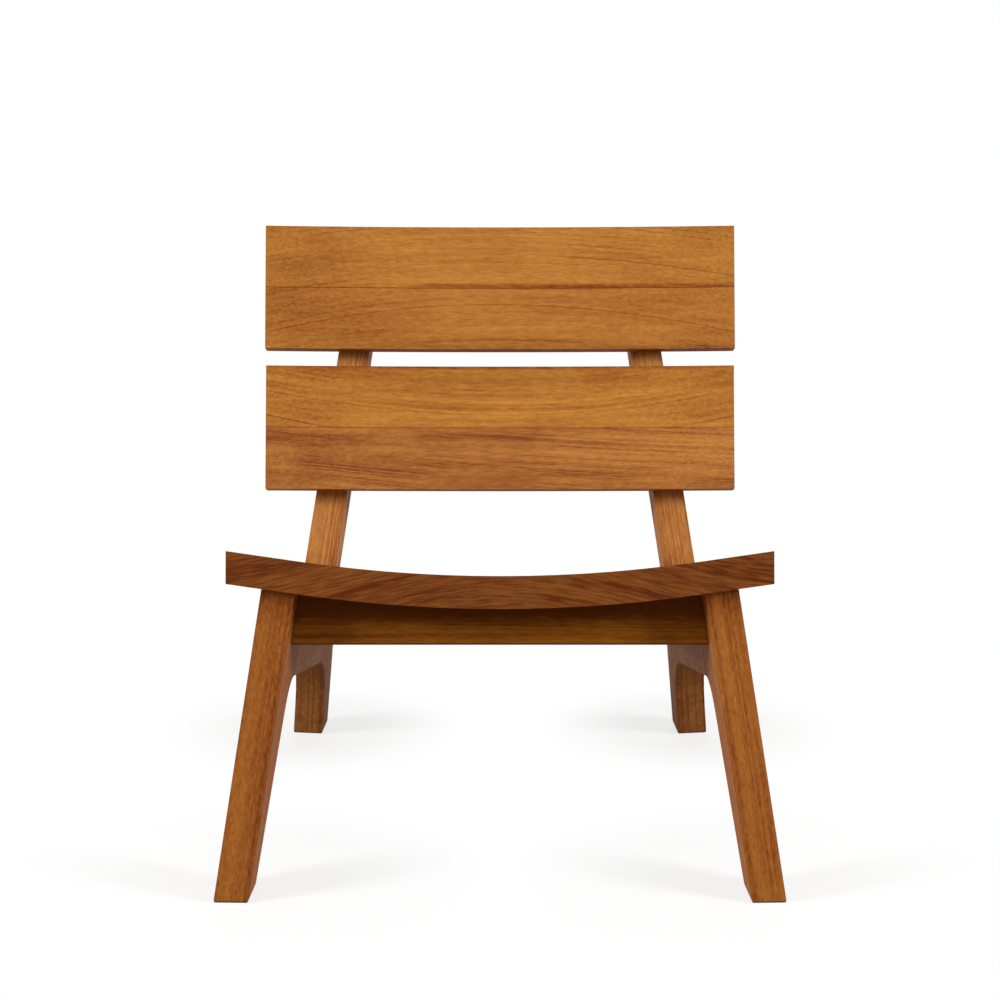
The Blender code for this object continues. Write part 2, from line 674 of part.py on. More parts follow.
def build():
    floor_cut = cutter("floor_cut", block((-FAR, -FAR, -FAR), (FAR, 2 * FAR, 0.0), Matrix.Identity(4)))
    seat_cut = make_seat_cut()
    back_cut = make_back_cut()
    frame_cuts = [make_inner_face_cut(end) for end in SIDES]
    seat_bores = {end: make_seat_screws(end) for end in STRETCHERS}
    mortises = {end: make_stretcher_tenons(end) for end in STRETCHERS}
    for end in STRETCHERS:
        make_stretcher(end, seat_cut, frame_cuts, mortises[end].values(), seat_bores[end])
    make_seat([bore for bores in seat_bores.values() for bore in bores])
    slat_bores, screw_places = make_slat_screws()
    for slat in SLATS:
        make_slat(slat, [bore for bores in slat_bores.values() for bore in bores])
    for side in SIDES:
        side_mortises = [mortises[end][side] for end in STRETCHERS]
        blank = make_side_frame(side, floor_cut, seat_cut, back_cut, side_mortises, slat_bores[side])
        make_plugs(side, screw_places[side], blank)
    stand_over_origin()


build()
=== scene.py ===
"""Low slatted lounge chair in solid wood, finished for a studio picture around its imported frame.

Metres, +Z up, +X to the right and +Y to the back as one faces the chair.
"""

import json
import math

import bmesh
import bpy
from mathutils import Matrix, Vector


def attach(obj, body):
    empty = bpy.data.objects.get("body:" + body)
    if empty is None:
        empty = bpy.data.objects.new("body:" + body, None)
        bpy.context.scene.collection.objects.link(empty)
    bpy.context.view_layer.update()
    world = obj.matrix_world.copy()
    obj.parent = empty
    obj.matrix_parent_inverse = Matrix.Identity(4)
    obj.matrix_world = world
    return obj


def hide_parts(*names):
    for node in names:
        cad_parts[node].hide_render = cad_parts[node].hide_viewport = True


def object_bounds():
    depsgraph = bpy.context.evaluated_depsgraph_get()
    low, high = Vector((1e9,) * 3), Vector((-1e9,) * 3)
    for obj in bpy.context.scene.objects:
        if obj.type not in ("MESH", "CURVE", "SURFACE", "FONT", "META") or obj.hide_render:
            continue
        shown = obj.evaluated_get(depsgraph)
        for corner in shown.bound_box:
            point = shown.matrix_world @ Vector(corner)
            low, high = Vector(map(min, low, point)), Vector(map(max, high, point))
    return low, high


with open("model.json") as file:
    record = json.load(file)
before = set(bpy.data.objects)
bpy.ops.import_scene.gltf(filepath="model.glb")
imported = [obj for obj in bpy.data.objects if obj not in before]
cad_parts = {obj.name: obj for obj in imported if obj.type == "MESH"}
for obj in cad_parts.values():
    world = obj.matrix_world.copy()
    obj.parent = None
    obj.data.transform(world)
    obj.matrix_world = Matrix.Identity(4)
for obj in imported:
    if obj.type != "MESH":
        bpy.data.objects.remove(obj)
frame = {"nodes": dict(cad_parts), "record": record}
CAD_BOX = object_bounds()

bl_info = {
    "name": "Slatted lounge chair",
    "version": (1, 0, 0),
    "blender": (4, 5, 0),
    "location": "3D View > Sidebar > Lounge Chair",
    "description": "Finishes the boards, screws and plugs of a low slatted lounge chair and lights it",
    "category": "Object",
}

BODY = "root"
SIDES = {"left": -1, "right": 1}

# Places of the boards, as the frame has them
SEAT_TILT = math.radians(15.0)
SEAT_FRONT = Vector((0.0, -0.2772, 0.375))  # middle of the seat's top front edge
SEAT_DEPTH = 0.457
SEAT_BOARDS = 4
BACK_TILT = math.radians(17.0)
BACK_FOOT = Vector((0.0, 0.17635, 0.2535))  # back of the slats at seat level
SLAT_THICKNESS = 0.032
SLAT_SEAMS = {"lower": 0.1996, "upper": 0.3866}  # up the back from its foot
FRAME_LEAN = math.radians(7.84)
FRAME_TOE = math.radians(4.09)
FRAME_THICKNESS = 0.040
FRAME_TOE_PLACE = Vector((0.295, -0.35615, 0.0))  # inner face of the right frame, at its front toe
RAIL_FALL = math.radians(13.3)
LEG_RAKE = math.radians(18.4)
POST_RAKE = math.radians(6.0)

# Rounded corners of a side frame: centre in the frame's plane, radius
FRONT_ARCH = ((0.18541, 0.17816), 0.045)
REAR_ARCH = ((0.44986, -0.04428), 0.200)
KNEE = ((0.69237, 0.24734), 0.090)
BORE_RADIUS = 0.0063
PLUG_RADIUS = 0.006

# Working allowances
MERGE_DISTANCE = 0.00001
FLAT_ANGLE = math.radians(0.05)
SOFT_ANGLE = math.radians(38.0)
JOINT_HALF_GAP = 0.00015  # how far the frame's boards stand off a glue line
JOINT_REACH = 0.0002  # that, and a little more
ARC_REACH = 0.0028  # an edge rounding and a little more
ARC_LEVEL = 0.00005  # most that the ends of a facet's edge may differ in their distance from the axis
ARC_TURN = 0.5  # most that a facet's edge may run along the arc's axis, as a share of its length
ARC_FACET = 0.6  # longest facet of an arc, as a share of the radius
ARRIS_WIDTH = 0.0018  # wider than a facet of an edge rounding
SOLE_TURNS = (0.0, 30.0, 60.0, 90.0)  # degrees round the rounded edge of a sole
TONGUE_SEGMENTS = 6
LONG_EDGE = 0.98  # least length of a tongue's long edges, as a share of the longest

# Screws in each post, and in each cross rail
SLAT_SCREWS = 4
SEAT_SCREWS = 3


# Settings

class ChairShapeSettings(bpy.types.PropertyGroup):
    """Sizes of the finer shapes."""

    arch_cuts: bpy.props.IntProperty(
        name="Arch Cuts", description="Cuts in each facet of a frame's rounded corners",
        default=4, min=0)
    bore_cuts: bpy.props.IntProperty(
        name="Bore Cuts", description="Cuts in each facet of a plug or its hole", default=2, min=0)
    foot_rounding: bpy.props.FloatProperty(
        name="Foot Rounding", description="Rounding of the edges of a foot's sole",
        default=0.0030, unit="LENGTH")
    tongue_rounding: bpy.props.FloatProperty(
        name="Tongue Rounding", description="Rounding of a loose tongue's long edges",
        default=0.0055, unit="LENGTH")
    thread_pitch: bpy.props.FloatProperty(
        name="Thread Pitch", description="Rise of a screw's thread in one turn",
        default=0.0018, unit="LENGTH")
    recess_width: bpy.props.FloatProperty(
        name="Recess Width", description="Width of the cross in a screw's head",
        default=0.0012, unit="LENGTH")
    recess_length: bpy.props.FloatProperty(
        name="Recess Length", description="Length of the cross in a screw's head",
        default=0.0046, unit="LENGTH")
    recess_depth: bpy.props.FloatProperty(
        name="Recess Depth", description="Depth of the cross in a screw's head",
        default=0.0016, unit="LENGTH")


def wood_colour(name, colour):
    """A setting for the lightest tone of some boards."""
    return bpy.props.FloatVectorProperty(
        name=name, description=f"Lightest tone of the {name.lower()}", subtype="COLOR", size=3,
        default=colour, min=0.0, max=1.0)


class ChairWoodSettings(bpy.types.PropertyGroup):
    """Colours and surface of the wood."""

    upper_slat: wood_colour("Upper Slat", (0.50, 0.209, 0.038))
    lower_slat: wood_colour("Lower Slat", (0.535, 0.225, 0.0415))
    seat: wood_colour("Seat", (0.400, 0.135, 0.028))
    leg: wood_colour("Front Legs", (0.42, 0.148, 0.026))
    rail: wood_colour("Side Rails", (0.545, 0.226, 0.066))
    post: wood_colour("Rear Legs", (0.60, 0.270, 0.070))
    stretcher: wood_colour("Cross Rails", (0.335, 0.107, 0.007))
    plug: wood_colour("Plugs", (0.36, 0.120, 0.024))
    tongue: wood_colour("Tongues", (0.55, 0.370, 0.200))
    steel: bpy.props.FloatVectorProperty(
        name="Screws", description="Colour of the zinc on the screws", subtype="COLOR", size=3,
        default=(0.60, 0.59, 0.56), min=0.0, max=1.0)
    late_wood: bpy.props.FloatVectorProperty(
        name="Late Wood", description="Tint of the darkest grain, as a share of the lightest tone",
        subtype="COLOR", size=3, default=(0.55, 0.42, 0.40), min=0.0, max=1.0)
    pore_depth: bpy.props.FloatProperty(
        name="Pore Depth", description="Depth of the open pores", default=0.00012, unit="LENGTH")
    sheen: bpy.props.FloatProperty(
        name="Sheen", description="Strength of the satin reflection", default=0.05, min=0.0, max=1.0,
        subtype="FACTOR")
    roughness: bpy.props.FloatProperty(
        name="Roughness", description="Roughness of the oiled surface", default=0.62, min=0.0, max=1.0,
        subtype="FACTOR")


class ChairStudioSettings(bpy.types.PropertyGroup):
    """Camera, lights and floor."""

    camera_distance: bpy.props.FloatProperty(
        name="Camera Distance", description="Camera ahead of the chair's middle", default=3.41319,
        unit="LENGTH")
    camera_height: bpy.props.FloatProperty(
        name="Camera Height", description="Camera over the floor", default=1.186, unit="LENGTH")
    camera_pitch: bpy.props.FloatProperty(
        name="Camera Pitch", description="Camera's tilt below the horizon", default=math.radians(12.93),
        subtype="ANGLE")
    focal_length: bpy.props.FloatProperty(
        name="Focal Length", description="Focal length in millimetres", default=100.0)
    side_power: bpy.props.FloatProperty(
        name="Side Lights", description="Power of each softbox at the sides, in watts", default=98.0)
    front_power: bpy.props.FloatProperty(
        name="Front Light", description="Power of the softbox over the camera, in watts", default=30.0)
    back_power: bpy.props.FloatProperty(
        name="Back Light", description="Power of the softbox behind the chair, in watts", default=45.0)
    top_power: bpy.props.FloatProperty(
        name="Top Light", description="Power of the softbox overhead, in watts", default=11.0)
    fill: bpy.props.FloatProperty(
        name="Fill", description="Strength of the light from all round", default=0.07)
    floor_size: bpy.props.FloatProperty(
        name="Floor Size", description="Side of the floor", default=60.0, unit="LENGTH")
    shadow: bpy.props.FloatProperty(
        name="Shadow", description="How much of the floor's white is lit by the lamps", default=0.24,
        min=0.0, max=1.0, subtype="FACTOR")


# Materials

class Term:
    """One output of a node; sums, products and the like of such values add their own nodes."""

    def __init__(self, graph, socket):
        self.graph = graph
        self.socket = socket

    def output(self, name):
        return Term(self.graph, self.socket.node.outputs[name])

    def math(self, operation, *values):
        return self.graph.node("ShaderNodeMath", {"operation": operation}, dict(enumerate(values)))

    def __add__(self, other):
        return self.math("ADD", self, other)

    def __radd__(self, other):
        return self.math("ADD", other, self)

    def __sub__(self, other):
        return self.math("SUBTRACT", self, other)

    def __rsub__(self, other):
        return self.math("SUBTRACT", other, self)

    def __mul__(self, other):
        return self.math("MULTIPLY", self, other)

    def __rmul__(self, other):
        return self.math("MULTIPLY", other, self)

    def __truediv__(self, other):
        return self.math("DIVIDE", self, other)

    def __rtruediv__(self, other):
        return self.math("DIVIDE", other, self)

    def __pow__(self, other):
        return self.math("POWER", self, other)

    def __rpow__(self, other):
        return self.math("POWER", other, self)

    def __abs__(self):
        return self.math("ABSOLUTE", self)


# Noise: how far a seed shifts it along each axis or along a ring's level, and how rough it is
SEED_SHIFTS = (3.7, 1.9, 2.3)
RING_SEED_SHIFT = 5.3
NOISE_ROUGHNESS = 0.55
RING_ROUGHNESS = 0.6


class Graph:
    """The nodes of one material or world."""

    def __init__(self, owner):
        owner.use_nodes = True
        self.tree = owner.node_tree
        self.tree.nodes.clear()

    def node(self, kind, settings, inputs, output=0):
        """A node of a kind, with its settings set first and then its sockets given values or links."""
        made = self.tree.nodes.new(kind)
        for key, value in settings.items():
            setattr(made, key, value)
        for key, value in inputs.items():
            if isinstance(value, Term):
                self.tree.links.new(value.socket, made.inputs[key])
            else:
                made.inputs[key].default_value = value
        return Term(self, made.outputs[output]) if made.outputs else None

    def noise(self, place, stretch, seed, detail=2.0):
        """Noise with so many waves to the metre along the three axes of a place."""
        scaled = self.node("ShaderNodeMapping", {}, {
            "Vector": place, "Location": [seed * shift for shift in SEED_SHIFTS], "Scale": stretch})
        return self.node("ShaderNodeTexNoise", {}, {
            "Vector": scaled, "Scale": 1.0, "Detail": detail, "Roughness": NOISE_ROUGHNESS})

    def bands(self, level, waves, seed, detail=1.0):
        """Noise along one value, for rings."""
        return self.node("ShaderNodeTexNoise", {"noise_dimensions": "1D"}, {
            "W": level * waves + seed * RING_SEED_SHIFT, "Scale": 1.0, "Detail": detail,
            "Roughness": RING_ROUGHNESS})

    def ease(self, value, low, high):
        """Zero below low, one above high, with a soft change between."""
        return self.node("ShaderNodeMapRange", {"interpolation_type": "SMOOTHSTEP"}, {
            "Value": value, "From Min": low, "From Max": high, "To Min": 0.0, "To Max": 1.0})

    def blend(self, share, first, second):
        """A colour between two colours, or a little past either."""
        return self.node("ShaderNodeMix", {"data_type": "RGBA", "clamp_factor": False}, {
            0: share, 6: first, 7: second}, 2)


def opaque(colour):
    """A colour with its alpha."""
    return (*colour, 1.0)


def tinted(colour, tint):
    """A colour whose red, green and blue are multiplied by a tint's shares."""
    return opaque([part * share for part, share in zip(colour[:3], tint)])


# Figure of the wood: waves to the metre along the fibres and across them, or rings to the metre
WANDER_WAVES = (1.8, 12.0, 12.0)
DRIFT_WAVES = (3.0, 11.0, 11.0)
FADE_WAVES = (2.5, 35.0, 35.0)
STREAK_RISE = 120.0
PORE_RISE = 1000.0
PORE_RUN = 1.3  # as a share of the flecks'
BROAD_RINGS = 70.0
LATE_RINGS = 150.0

# Reach of the figure: lengths in metres, and the parts of a noise that show
WANDER = 0.008  # how far the rings stray
BOW_WIDTH = 0.24  # from a front edge's middle to where its figure has fallen by most of the bow
FRONT_DEPTH = 0.004  # how deep the front edge's tone goes
BAND_FADE = 0.06  # over which a dark ring or band begins and ends
LATE_RING_WIDTH = 0.06
FADE_RANGE = (0.40, 0.60)
PORE_RANGE = (0.60, 0.73)
TONE_RANGE = (-0.1, 1.4)
END_GRAIN_RANGE = (0.55, 0.98)  # how squarely a face cuts the fibres
FRONT_FLECKS = 1.4  # how much stronger the flecks are on the front edge

# Darker tones as shares of a board's lightest tone, and how much of it they cover
EDGE_TINT = (0.585, 0.54, 0.49)
PORE_TINT = (0.30, 0.20, 0.18)
PORE_SHARE = 0.4
# Painted shade on the rounded edges
ARRIS_SHADE_TINT = (0.34, 0.24, 0.24)
ARRIS_SHADE_SHARE = 0.6
END_GRAIN_TINT = (0.40, 0.30, 0.28)
END_GRAIN_SHARE = 0.55

# Surface of the wood: strength of the relief, and what its parts add to the roughness
RELIEF = 0.2
FLECK_RELIEF = 0.4  # as a share of the pores'
PORE_ROUGHNESS = 0.2
FLECK_ROUGHNESS = 0.2
END_GRAIN_ROUGHNESS = 0.15


def wood(name, colour, grain, seed, ring=(1.0, 0.0, 0.0), shade=0.5, drift=0.8, band=0.5, line=0.4,
         streak=0.9, streak_run=2.0, fleck=1.4, fleck_run=60.0, fleck_rise=330.0, edge_bow=0.0,
         crowd=0.0, late_wood=None, marks=(), dark_bands=()):
    """Oiled hardwood. The grain matrix gives the fibres' place and axes: X along them, Y and Z across.
    The ring numbers say how fast the growth rings pass along Y, Z and X. Shade is how dark the wood is,
    and drift, band, line, streak and fleck say how strongly that changes, from the broadest figure to
    the finest. An edge bow darkens the front edge and lifts its figure by so much over the middle, and
    a crowd shortens the flecks towards the ends. Marks are single dark rings, and dark bands run
    straight along the fibres as glue lines, figure or painted shade: level, half width, depth, and from
    where to where they run."""
    settings = bpy.context.scene.chair_wood
    late_wood = late_wood or settings.late_wood
    material = bpy.data.materials.new(name)
    graph = Graph(material)
    place = graph.node("ShaderNodeTexCoord", {}, {}, "Object")
    fibres = graph.node("ShaderNodeMapping", {"vector_type": "TEXTURE"}, {
        "Vector": place, "Location": grain.translation, "Rotation": grain.to_euler()})
    along = graph.node("ShaderNodeSeparateXYZ", {}, {0: fibres})
    up = along.output("Y")
    through = along.output("Z")
    lifted = up
    if edge_bow:
        front = graph.ease(through, -FRONT_DEPTH, 0.0)
        lifted = up - front * edge_bow * math.e ** (0 - (along / BOW_WIDTH) ** 2)
    wander = graph.noise(fibres, WANDER_WAVES, seed, 1.0) - 0.5
    level = lifted * ring[0] + through * ring[1] + along * ring[2] + wander * WANDER
    if edge_bow or crowd:
        run = along * (1 + crowd * along ** 2)
        fibres = graph.node("ShaderNodeCombineXYZ", {}, {"X": run, "Y": lifted, "Z": through})

    slow = graph.noise(fibres, DRIFT_WAVES, seed + 1.0, 1.0)
    broad = graph.bands(level, BROAD_RINGS, seed)
    late = graph.ease(abs(graph.bands(level, LATE_RINGS, seed + 2.0, 2.0) - 0.5), LATE_RING_WIDTH, 0.0)
    fade = graph.ease(graph.noise(fibres, FADE_WAVES, seed + 3.0, 1.0), *FADE_RANGE)
    streaks = graph.noise(fibres, (streak_run, STREAK_RISE, STREAK_RISE), seed + 4.0, 3.0)
    flecks = graph.noise(fibres, (fleck_run, fleck_rise, fleck_rise), seed + 5.0, 4.0)
    pore_waves = (fleck_run * PORE_RUN, PORE_RISE, PORE_RISE)
    pores = graph.ease(graph.noise(fibres, pore_waves, seed + 6.0, 1.0), *PORE_RANGE)

    figure = (flecks - 0.5) * fleck
    if edge_bow:
        figure = figure * (1 + front * FRONT_FLECKS)
    figure = (streaks - 0.5) * streak + figure
    tone = shade + (slow - 0.5) * drift + (broad - 0.5) * band + late * fade * line + figure
    bands = [(level, *mark) for mark in marks] + [(up, *seam) for seam in dark_bands]
    for height, spot, half_width, depth, start, end in bands:
        ridge = graph.ease(abs(height - spot), half_width, 0.0)
        span = graph.ease(along, start, start + BAND_FADE) * graph.ease(along, end, end - BAND_FADE)
        tone = tone + ridge * span * depth
    tone = graph.node("ShaderNodeClamp", {}, {"Value": tone, "Min": TONE_RANGE[0], "Max": TONE_RANGE[1]})

    shown = graph.blend(tone, opaque(colour), tinted(colour, late_wood))
    if edge_bow:
        dark = tinted(colour, EDGE_TINT)
        shown = graph.blend(front, shown, graph.blend(tone, dark, tinted(dark, late_wood)))
    shown = graph.blend(pores * PORE_SHARE, shown, tinted(colour, PORE_TINT))
    # Painted shade on the rounded edges, as marked in the mesh
    arris = graph.node("ShaderNodeAttribute", {"attribute_name": "arris"}, {}, "Fac")
    shown = graph.blend(arris * ARRIS_SHADE_SHARE, shown, tinted(colour, ARRIS_SHADE_TINT))
    facing = graph.node("ShaderNodeVectorMath", {"operation": "DOT_PRODUCT"}, {
        0: place.output("Normal"), 1: grain.to_3x3().col[0]}, "Value")
    end_grain = graph.ease(abs(facing), *END_GRAIN_RANGE)
    shown = graph.blend(end_grain * END_GRAIN_SHARE, shown, tinted(colour, END_GRAIN_TINT))

    bump = graph.node("ShaderNodeBump", {}, {
        "Strength": RELIEF, "Distance": settings.pore_depth, "Height": flecks * FLECK_RELIEF - pores})
    roughness = settings.roughness + pores * PORE_ROUGHNESS + (flecks - 0.5) * FLECK_ROUGHNESS
    shader = graph.node("ShaderNodeBsdfPrincipled", {}, {
        "Base Color": shown, "Roughness": roughness + end_grain * END_GRAIN_ROUGHNESS, "Normal": bump,
        "Specular IOR Level": settings.sheen})
    graph.node("ShaderNodeOutputMaterial", {}, {"Surface": shader})
    return material


# Zinc: waves to the metre, tint of the bloom, roughness with and without it, depth of the scratches
BLOOM_WAVES = (700.0, 700.0, 700.0)
SCRATCH_WAVES = (300.0, 4000.0, 4000.0)
BLOOM_TINT = (0.72, 0.71, 0.68)
ZINC_ROUGHNESS = 0.28
BLOOM_ROUGHNESS = 0.2
SCRATCH_RELIEF = 0.2
SCRATCH_DEPTH = 0.00005


def zinc_steel(name):
    """Zinc plate with a faint bloom and fine scratches."""
    settings = bpy.context.scene.chair_wood
    material = bpy.data.materials.new(name)
    graph = Graph(material)
    place = graph.node("ShaderNodeTexCoord", {}, {}, "Object")
    bloom = graph.noise(place, BLOOM_WAVES, 1.0, 3.0)
    scratches = graph.noise(place, SCRATCH_WAVES, 2.0)
    shown = graph.blend(bloom, tinted(settings.steel, BLOOM_TINT), opaque(settings.steel))
    bump = graph.node("ShaderNodeBump", {}, {
        "Strength": SCRATCH_RELIEF, "Distance": SCRATCH_DEPTH, "Height": scratches})
    shader = graph.node("ShaderNodeBsdfPrincipled", {}, {
        "Base Color": shown, "Metallic": 1.0, "Roughness": ZINC_ROUGHNESS + bloom * BLOOM_ROUGHNESS,
        "Normal": bump})
    graph.node("ShaderNodeOutputMaterial", {}, {"Surface": shader})
    return material


# Places: each is a matrix from its own axes to the chair's

def axes(origin, x_axis, y_axis, z_axis):
    """A place from its origin and its three axes."""
    return Matrix.Translation(origin) @ Matrix((x_axis, y_axis, z_axis)).transposed().to_4x4()


def seat_grain():
    """Fibres from side to side, Y square out of the seat, Z forward, from the seat's top front edge."""
    return Matrix.Translation(SEAT_FRONT) @ Matrix.Rotation(math.pi / 2 - SEAT_TILT, 4, "X")


def slat_grain():
    """Fibres from side to side, Y up the slats, Z forward, from their front's middle at seat level."""
    turn = Matrix.Rotation(math.pi / 2 - BACK_TILT, 4, "X")
    return Matrix.Translation(BACK_FOOT) @ turn @ Matrix.Translation((0.0, 0.0, SLAT_THICKNESS))


def frame_plane(side):
    """Middle plane of a side frame: X back along it, Y up along it, Z to the right through it."""
    back = Vector((-side * math.sin(FRAME_TOE), math.cos(FRAME_TOE), 0.0))
    inward = Vector((-side * math.cos(FRAME_TOE), -math.sin(FRAME_TOE), 0.0))
    up = inward * math.sin(FRAME_LEAN) + Vector((0.0, 0.0, math.cos(FRAME_LEAN)))
    outward = Vector((0.0, 0.0, math.sin(FRAME_LEAN))) - inward * math.cos(FRAME_LEAN)
    toe = Vector((FRAME_TOE_PLACE.x * side, FRAME_TOE_PLACE.y, FRAME_TOE_PLACE.z))
    return axes(toe + outward * (FRAME_THICKNESS / 2), back, up, outward * side)


def in_plane_grain(side, turn):
    """Fibres in a side frame's plane, turned up from its back-running axis, Z through the frame."""
    return frame_plane(side) @ Matrix.Rotation(turn, 4, "Z")


def arc_place(side, arc):
    """Axis and radius of a rounded corner of a side frame."""
    centre, radius = arc
    return frame_plane(side) @ Matrix.Translation((*centre, 0.0)), radius


def node_place(node, turn):
    """Axis of a round node that lies along the turn's Z: the matrix, and its lowest and highest Z."""
    inverse = turn.inverted()
    corners = [inverse @ vert.co for vert in frame["nodes"][node].data.vertices]
    low = Vector([min(corner[axis] for corner in corners) for axis in range(3)])
    high = Vector([max(corner[axis] for corner in corners) for axis in range(3)])
    middle = (low + high) / 2
    return turn @ Matrix.Translation((middle.x, middle.y, 0.0)), low.z, high.z


# Meshes

def node_shape(node):
    """A merged copy of a node of the frame, its flat faces in one piece each and its arrises marked for
    painted shade.
    """
    shape = bmesh.new()
    shape.from_mesh(frame["nodes"][node].data)
    bmesh.ops.remove_doubles(shape, verts=shape.verts, dist=MERGE_DISTANCE)
    bmesh.ops.dissolve_limit(
        shape, angle_limit=FLAT_ANGLE, verts=shape.verts, edges=shape.edges,
        use_dissolve_boundaries=False)
    arris = shape.faces.layers.float.new("arris")
    for face in shape.faces:
        width = face.calc_area() / max(edge.calc_length() for edge in face.edges)
        face[arris] = float(width < ARRIS_WIDTH)
    return shape


def close_joint(shape, point, normal):
    """Brings the faces on both sides of a glue line up to it."""
    for vert in shape.verts:
        off = (vert.co - point).dot(normal)
        if abs(off) < JOINT_REACH:
            vert.co -= normal * off


def round_arc(shape, place, radius, cuts):
    """Cuts the facets of an arc round a place's Z axis into shorter ones that lie on the true curve."""
    inverse = place.inverted()
    own_radius = shape.verts.layers.float.new("own_radius")
    for vert in shape.verts:
        vert[own_radius] = (inverse @ vert.co).xy.length
    chords = []
    for edge in shape.edges:
        first, second = edge.verts
        near = abs(first[own_radius] - radius) < ARC_REACH
        level = abs(first[own_radius] - second[own_radius]) < ARC_LEVEL
        run = inverse.to_3x3() @ (second.co - first.co)
        short = run.length < ARC_FACET * radius
        if near and level and short and abs(run.z) < ARC_TURN * run.length:
            chords.append(edge)
    made = bmesh.ops.subdivide_edges(shape, edges=chords, cuts=cuts, use_grid_fill=True)
    for vert in made["geom_inner"]:
        if isinstance(vert, bmesh.types.BMVert):
            local = inverse @ vert.co
            scale = vert[own_radius] / local.xy.length
            vert.co = place @ Vector((local.x * scale, local.y * scale, local.z))
    shape.verts.layers.float.remove(own_radius)


def ease_foot(shape, side, rounding):
    """Cuts a foot off just over the floor and ends it in a sole with rounded edges, ring by ring."""
    bmesh.ops.bisect_plane(
        shape, geom=[*shape.verts, *shape.edges, *shape.faces], plane_co=(0.0, 0.0, rounding),
        plane_no=(0.0, 0.0, 1.0), clear_inner=True)
    rim = [edge for edge in shape.edges if edge.is_boundary]
    toe = Matrix.Rotation(side * FRAME_TOE, 4, "Z")
    spots = [toe.inverted() @ vert.co for edge in rim for vert in edge.verts]
    low = Vector(min(spot[axis] for spot in spots) for axis in range(3))
    high = Vector(max(spot[axis] for spot in spots) for axis in range(3))
    foot = toe @ Matrix.Translation((low + high) / 2)
    arris = shape.faces.layers.float["arris"]
    turns = [math.radians(turn) for turn in SOLE_TURNS]
    for turn, following in zip(turns, turns[1:]):
        made = bmesh.ops.extrude_edge_only(shape, edges=rim)["geom"]
        rim = [item for item in made if isinstance(item, bmesh.types.BMEdge) and item.is_boundary]
        # The sole's rounded edge is marked for painted shade
        for item in made:
            if isinstance(item, bmesh.types.BMFace):
                item[arris] = 1.0
        before, after = (2 * rounding * (1 - math.cos(part)) for part in (turn, following))
        narrow = [(extent - after) / (extent - before) for extent in (high - low).xy]
        drop = rounding * (math.sin(turn) - math.sin(following))
        ring = foot @ Matrix.Translation((0.0, 0.0, drop)) @ Matrix.Diagonal((*narrow, 1.0, 1.0))
        corners = {vert for edge in rim for vert in edge.verts}
        bmesh.ops.transform(shape, matrix=ring @ foot.inverted(), verts=list(corners))
    bmesh.ops.contextual_create(shape, geom=rim)
    bmesh.ops.recalc_face_normals(shape, faces=shape.faces)


def finish_piece(name, shape, material, node):
    """A piece of the chair from a shape, in the place of a node of the frame."""
    mesh = bpy.data.meshes.new(name)
    shape.to_mesh(mesh)
    shape.free()
    for spare in ("custom_normal", "UVMap"):
        if spare in mesh.attributes:
            mesh.attributes.remove(mesh.attributes[spare])
    mesh.shade_smooth()
    mesh.set_sharp_from_angle(angle=SOFT_ANGLE)
    mesh.materials.clear()
    mesh.materials.append(material)
    piece = bpy.data.objects.new(name, mesh)
    bpy.context.scene.collection.objects.link(piece)
    weighted = piece.modifiers.new("weighted normals", "WEIGHTED_NORMAL")
    weighted.keep_sharp = True
    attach(piece, BODY)
    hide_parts(node)


# Boards

def rail_joint_planes(end):
    """The two glue planes at the ends of a side rail."""
    plane = frame_plane(SIDES[end])
    # The fall is that of the side view, and the rail's run is in the frame's own leaning plane
    fall = Vector((math.cos(RAIL_FALL), -math.sin(RAIL_FALL)))
    along = plane.to_3x3() @ Vector((
        (fall.x + fall.y * math.tan(FRAME_LEAN) * math.sin(FRAME_TOE)) / math.cos(FRAME_TOE),
        fall.y / math.cos(FRAME_LEAN), 0.0)).normalized()
    places = [vert.co.dot(along) for vert in frame["nodes"][f"side_rail_{end}"].data.vertices]
    ends = (min(places) - JOINT_HALF_GAP, max(places) + JOINT_HALF_GAP)
    return [(along * end_place, along) for end_place in ends]


class CHAIR_OT_front_legs(bpy.types.Operator):
    """Finish the two front legs"""

    bl_idname = "chair.front_legs"
    bl_label = "Front Legs"

    def execute(self, context):
        shape_settings = context.scene.chair_shape
        colour = context.scene.chair_wood.leg
        for end, side in SIDES.items():
            shape = node_shape(f"front_leg_{end}")
            for point, normal in rail_joint_planes(end):
                close_joint(shape, point, normal)
            round_arc(shape, *arc_place(side, FRONT_ARCH), shape_settings.arch_cuts)
            ease_foot(shape, side, shape_settings.foot_rounding)
            grain = in_plane_grain(side, math.pi / 2 - LEG_RAKE)
            # A dark ring by the inner face, and a darker top that is painted shade under the seat
            material = wood(
                f"{end} leg wood", colour, grain, seed=11.0 + side, ring=(0.0, 1.0, 0.0), shade=0.48,
                streak=0.7, fleck=1.6, fleck_run=110.0, marks=[(-side * 0.0165, 0.005, 0.45, -0.1, 0.5)],
                dark_bands=[(0.0, 2.0, 0.40, 0.30, 0.6)])
            finish_piece(f"{end}_front_leg", shape, material, f"front_leg_{end}")
        return {"FINISHED"}


class CHAIR_OT_side_rails(bpy.types.Operator):
    """Finish the two side rails under the seat"""

    bl_idname = "chair.side_rails"
    bl_label = "Side Rails"

    def execute(self, context):
        colour = context.scene.chair_wood.rail
        for end, side in SIDES.items():
            shape = node_shape(f"side_rail_{end}")
            for point, normal in rail_joint_planes(end):
                close_joint(shape, point, normal)
            grain = in_plane_grain(side, -RAIL_FALL)
            material = wood(f"{end} rail wood", colour, grain, seed=21.0 + side, ring=(0.0, 1.0, 0.0))
            finish_piece(f"{end}_side_rail", shape, material, f"side_rail_{end}")
        return {"FINISHED"}


